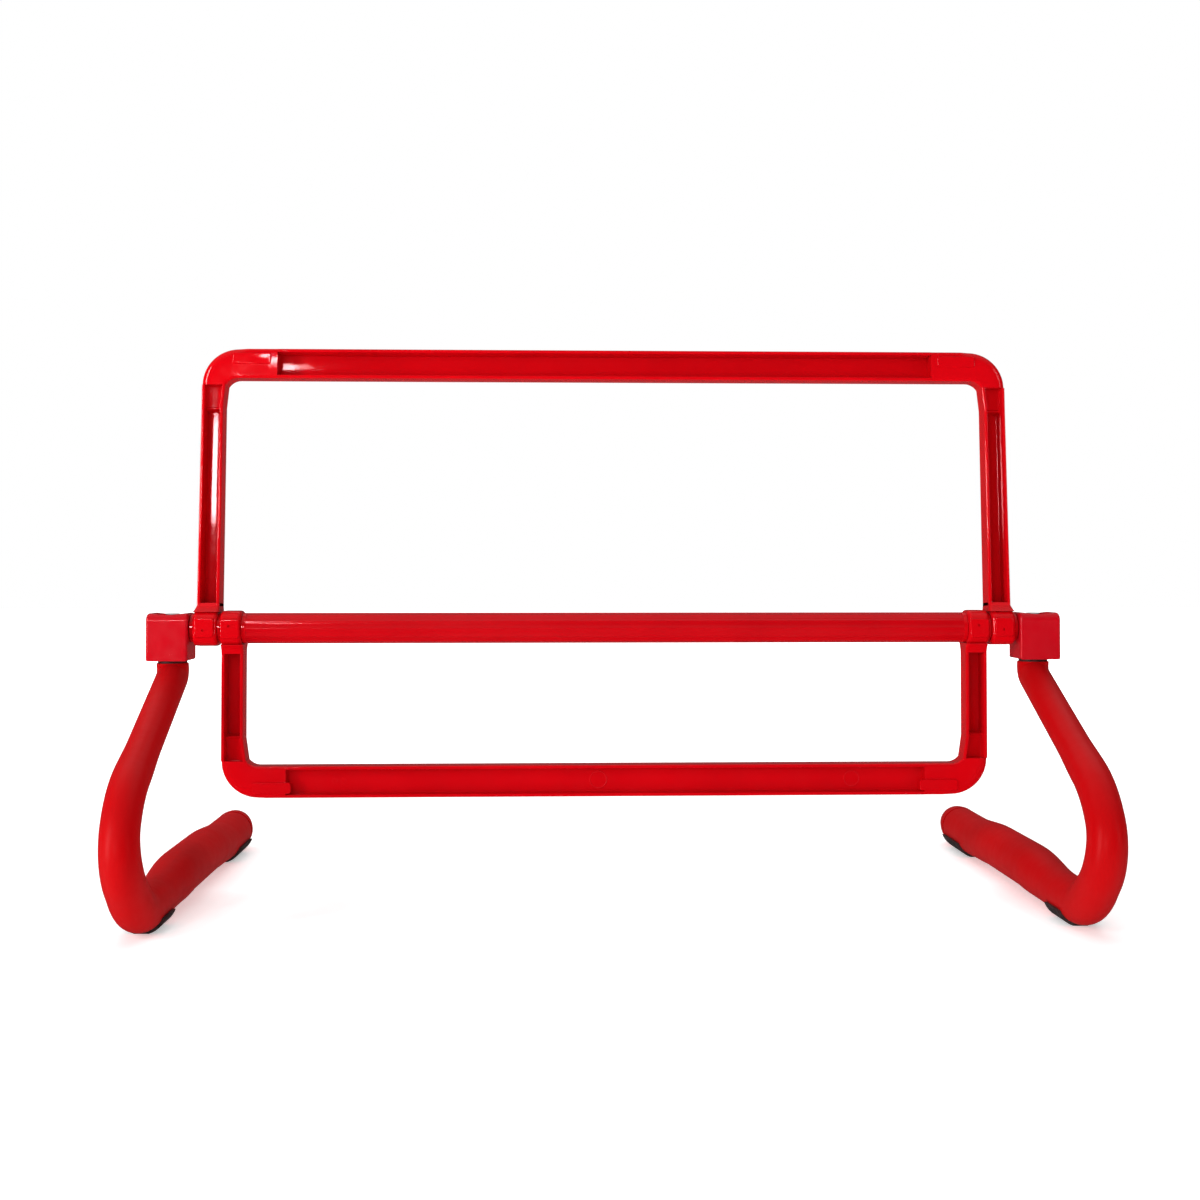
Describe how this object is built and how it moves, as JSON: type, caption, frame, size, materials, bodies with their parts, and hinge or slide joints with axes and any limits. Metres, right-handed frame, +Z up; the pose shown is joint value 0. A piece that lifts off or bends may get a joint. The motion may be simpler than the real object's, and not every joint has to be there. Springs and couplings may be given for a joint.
{
  "type": "agility hurdle",
  "caption": "Low adjustable training hurdle: a ridged crossbar on swivelling hook-shaped legs, with a large and a small U-shaped bar that swing about it to change the jump height.",
  "frame": {"origin": "on the floor at the middle of the footprint", "axes": "+X to the right along the crossbar, +Y to the back where the tails of the legs point, +Z up"},
  "size_m": [0.502, 0.2746, 0.2968],
  "materials": {
    "bar_plastic": "glossy red injection moulding with soft sink marks and rounded rims",
    "crossbar_plastic": "glossy red extruded tube with fine lengthwise ridges",
    "hub_plastic": "glossy red moulding, polished where the hubs turn",
    "bracket_plastic": "glossy red moulding with rounded top edges",
    "leg_plastic": "satin red moulding with a fine grained skin",
    "pad_rubber": "thin dark anti-slip pad",
    "ring_rubber": "black rubber ring",
    "washer_plastic": "dark slippery washer",
    "steel": "zinc-plated steel"
  },
  "bodies": {
    "crossbar_assembly": {"crossbar": "crossbar_plastic", "left_axle": "hub_plastic", "left_plug_pin": "steel", "left_bracket": "bracket_plastic", "left_small_bar_friction_ring": "ring_rubber", "left_large_bar_friction_ring": "ring_rubber", "left_hub_collar": "hub_plastic", "left_bracket_collar": "hub_plastic", "right_axle": "hub_plastic", "right_plug_pin": "steel", "right_bracket": "bracket_plastic", "right_small_bar_friction_ring": "ring_rubber", "right_large_bar_friction_ring": "ring_rubber", "right_hub_collar": "hub_plastic", "right_bracket_collar": "hub_plastic"},
    "large_bar": {"large_bar": "bar_plastic"},
    "small_bar": {"small_bar": "bar_plastic"},
    "left_leg": {"left_leg": "leg_plastic", "left_leg_pivot_screw": "steel", "left_leg_thrust_washer": "washer_plastic", "left_leg_front_pad": "pad_rubber", "left_leg_rear_pad": "pad_rubber"},
    "right_leg": {"right_leg": "leg_plastic", "right_leg_pivot_screw": "steel", "right_leg_thrust_washer": "washer_plastic", "right_leg_front_pad": "pad_rubber", "right_leg_rear_pad": "pad_rubber"}
  },
  "joints": [
    {"name": "large_bar_swing", "type": "hinge", "parent": "crossbar_assembly", "child": "large_bar", "pos_m": [0, 0.00597, 0.142], "axis": [1, 0, 0], "range_deg": [-134, 121]},
    {"name": "small_bar_swing", "type": "hinge", "parent": "crossbar_assembly", "child": "small_bar", "pos_m": [0, 0.00597, 0.142], "axis": [1, 0, 0], "range_deg": [-180, 180]},
    {"name": "left_leg_swivel", "type": "hinge", "parent": "crossbar_assembly", "child": "left_leg", "pos_m": [-0.23875, 0.00597, 0.1231], "axis": [0, 0, 1], "range_deg": [-90, 0]},
    {"name": "right_leg_swivel", "type": "hinge", "parent": "crossbar_assembly", "child": "right_leg", "pos_m": [0.23875, 0.00597, 0.1231], "axis": [0, 0, 1], "range_deg": [0, 90]}
  ]
}
